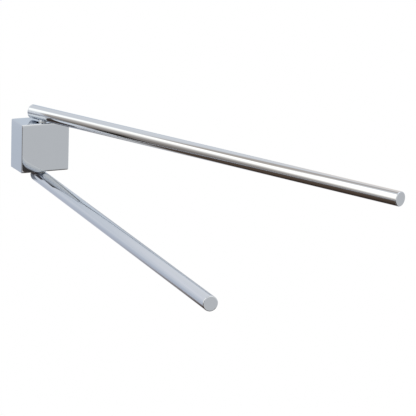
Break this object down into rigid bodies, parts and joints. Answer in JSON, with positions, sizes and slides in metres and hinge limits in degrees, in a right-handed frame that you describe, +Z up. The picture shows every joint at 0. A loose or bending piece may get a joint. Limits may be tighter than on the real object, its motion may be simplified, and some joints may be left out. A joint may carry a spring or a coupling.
{
  "type": "swing arm towel bar",
  "caption": "Square chromed wall block that carries round towel bars above and below it, each swinging sideways on an upright pivot.",
  "frame": {"origin": "middle of the wall plate's back face, on the wall", "axes": "+Y into the wall, +Z up, +X to the right as seen from the room; the room is on the -Y side"},
  "size_m": [0.2178, 0.4657, 0.08],
  "materials": {
    "chrome": "mirror polished chrome plate",
    "plated_steel": "zinc plated",
    "screw_steel": "stainless steel",
    "spring_steel": "spring steel",
    "brass": "turned brass",
    "nylon": "natural nylon",
    "nut_nylon": "blue nylon"
  },
  "bodies": {
    "block": {"block_cover": "chrome", "wall_plate": "plated_steel", "grub_screw": "screw_steel", "upper_bush": "nylon", "lower_bush": "nylon"},
    "upper_arm": {"upper_thrust_washer": "nylon", "upper_pivot_post": "chrome", "upper_pivot_anchor": "brass", "upper_bar_tube": "chrome", "upper_rear_cap": "chrome", "upper_front_cap": "chrome", "upper_wave_washer": "spring_steel", "upper_flat_washer": "plated_steel", "upper_lock_nut": "plated_steel", "upper_nut_ring": "nut_nylon"},
    "lower_arm": {"lower_thrust_washer": "nylon", "lower_pivot_post": "chrome", "lower_pivot_anchor": "brass", "lower_bar_tube": "chrome", "lower_rear_cap": "chrome", "lower_front_cap": "chrome", "lower_wave_washer": "spring_steel", "lower_flat_washer": "plated_steel", "lower_lock_nut": "plated_steel", "lower_nut_ring": "nut_nylon"}
  },
  "joints": [
    {"name": "upper_swing", "type": "hinge", "parent": "block", "child": "upper_arm", "pos_m": [0, -0.02, 0.025], "axis": [0, 0, 1], "range_deg": [-114, 66]},
    {"name": "lower_swing", "type": "hinge", "parent": "block", "child": "lower_arm", "pos_m": [0, -0.02, -0.025], "axis": [0, 0, 1], "range_deg": [-87, 93]}
  ]
}
